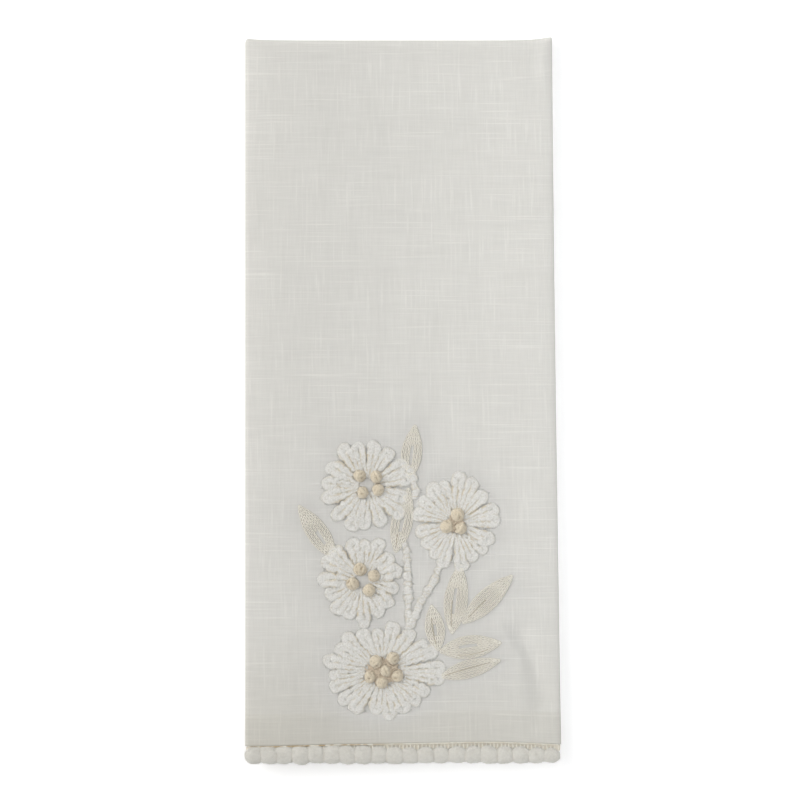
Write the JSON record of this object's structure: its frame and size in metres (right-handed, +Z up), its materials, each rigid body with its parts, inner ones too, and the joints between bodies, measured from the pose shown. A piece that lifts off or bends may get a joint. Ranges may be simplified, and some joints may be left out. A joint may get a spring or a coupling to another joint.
{
  "type": "folded towel with pompom trim",
  "caption": "Slub cotton towel folded in thirds and in half, lying face up, with a pompom-trimmed hem and a raised daisy spray in chenille yarn.",
  "frame": {"origin": "middle of the underside's outline, on the surface that the towel lies on", "axes": "+Y from the pompom hem to the top fold, +Z up out of the front face, +X to the right when the face is seen with the pompoms at the bottom"},
  "size_m": [0.1552, 0.3556, 0.0126],
  "materials": {
    "slub_cotton": "off-white plain weave with slubs",
    "pompom_yarn": "cut pile pompoms on a tan braid",
    "chenille": "white chenille pile",
    "tan_yarn": "wound tan cotton yarn",
    "flax_thread": "fine chain stitch in flax-coloured thread"
  },
  "bodies": {
    "root": {"towel_cloth": "slub_cotton", "pompom_trim": "pompom_yarn", "daisy_top": "chenille", "daisy_right": "chenille", "daisy_left": "chenille", "daisy_low": "chenille", "knot_top_1": "tan_yarn", "knot_top_2": "tan_yarn", "knot_top_3": "tan_yarn", "knot_top_4": "tan_yarn", "knot_right_1": "tan_yarn", "knot_right_2": "tan_yarn", "knot_right_3": "tan_yarn", "knot_left_1": "tan_yarn", "knot_left_2": "tan_yarn", "knot_left_3": "tan_yarn", "knot_left_4": "tan_yarn", "knot_low_1": "tan_yarn", "knot_low_2": "tan_yarn", "knot_low_3": "tan_yarn", "knot_low_4": "tan_yarn", "knot_low_5": "tan_yarn", "knot_low_6": "tan_yarn", "stem_fork": "chenille", "stem_short": "chenille", "leaf_1": "flax_thread", "leaf_2": "flax_thread", "leaf_3": "flax_thread", "leaf_4": "flax_thread", "leaf_5": "flax_thread", "leaf_6": "flax_thread", "leaf_7": "flax_thread", "leaf_8": "flax_thread"}
  },
  "joints": []
}
